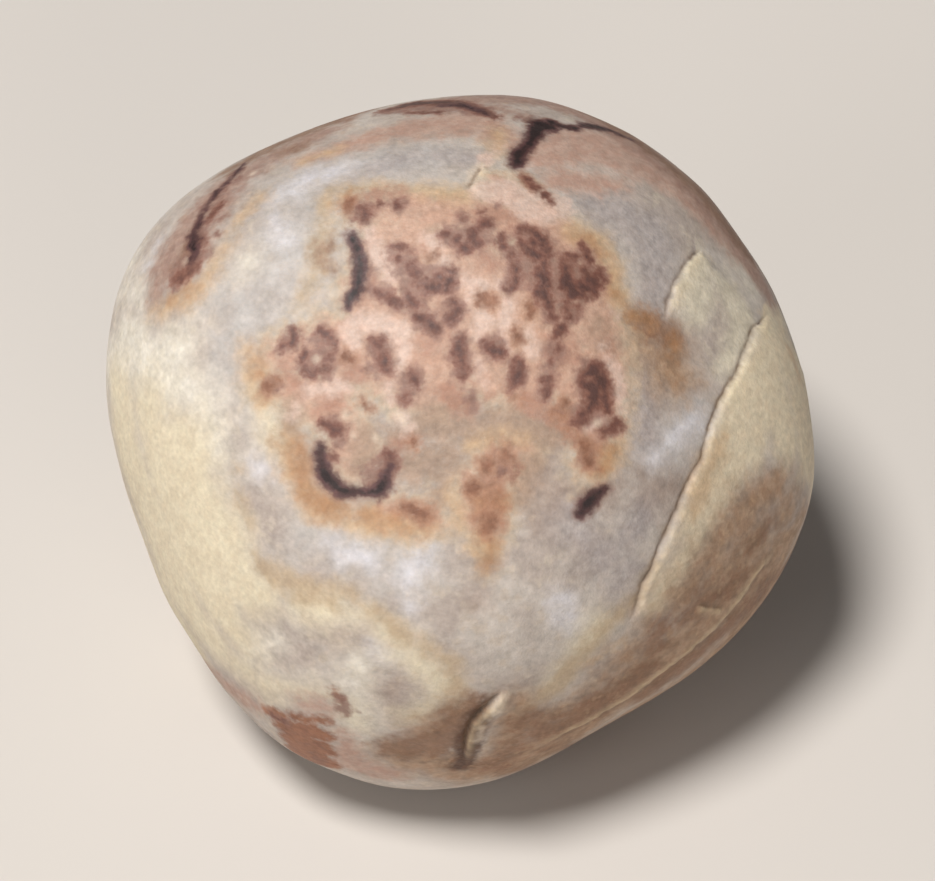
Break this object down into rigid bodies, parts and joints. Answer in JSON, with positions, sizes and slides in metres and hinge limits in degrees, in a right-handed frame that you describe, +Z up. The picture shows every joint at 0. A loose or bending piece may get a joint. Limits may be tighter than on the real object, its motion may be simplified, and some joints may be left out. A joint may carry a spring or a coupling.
{
  "type": "rough jasper",
  "caption": "Rough jasper pebble: a worn, blunt-cornered lump of banded stone with a broad face, a bevelled flank, low flake ledges and a flat patch to rest on.",
  "frame": {"origin": "on the surface the stone rests on, under the middle of its box", "axes": "+Z up, -Y towards the side that the broad face leans to, +X to the right of someone looking at that face"},
  "size_m": [0.0496, 0.0442, 0.0402],
  "materials": {
    "jasper": "satin, water-worn"
  },
  "bodies": {
    "root": {"jasper_stone": "jasper"}
  },
  "joints": []
}
